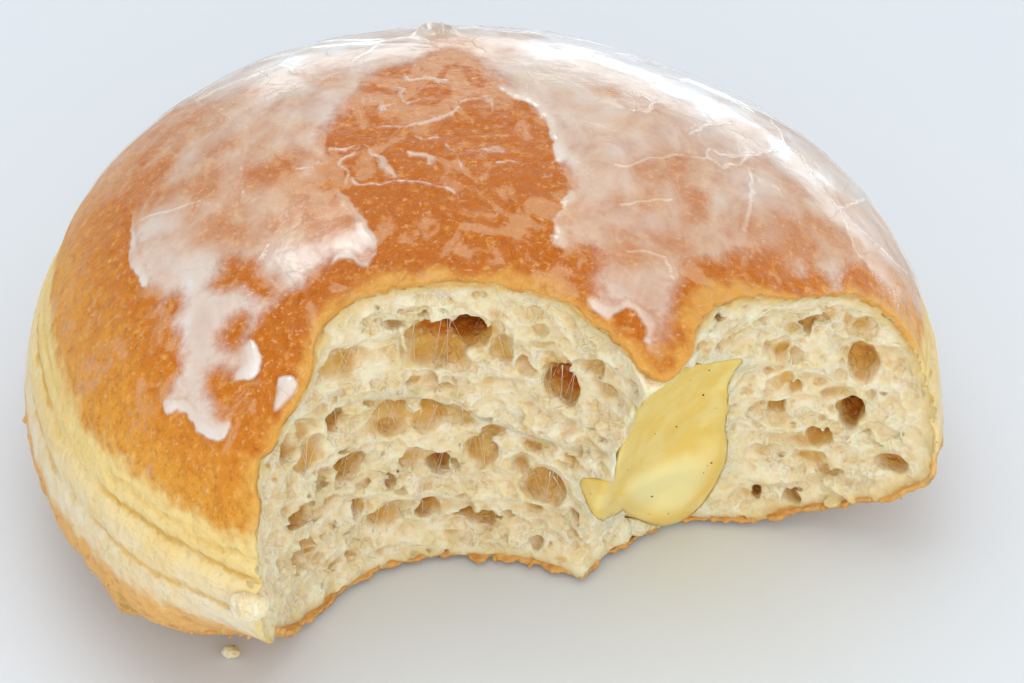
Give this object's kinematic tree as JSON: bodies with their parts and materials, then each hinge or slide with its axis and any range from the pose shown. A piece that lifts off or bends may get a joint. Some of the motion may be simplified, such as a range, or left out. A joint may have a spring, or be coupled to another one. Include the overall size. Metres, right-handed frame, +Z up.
{
  "type": "filled doughnut",
  "caption": "Domed, sugar-glazed yeast doughnut with a bitten front that shows its open crumb and its custard filling.",
  "frame": {"origin": "middle of the flat spot on the underside that the doughnut rests on", "axes": "+Z up, -Y towards the bitten front, +X to the right seen from the front"},
  "size_m": [0.0966, 0.0898, 0.0439],
  "materials": {
    "dough": "baked crust and open crumb, satin",
    "custard": "smooth cream, semi-gloss",
    "glaze": "thin cracked sugar glaze, glossy"
  },
  "bodies": {
    "root": {"bun": "dough", "custard": "custard"}
  },
  "joints": []
}
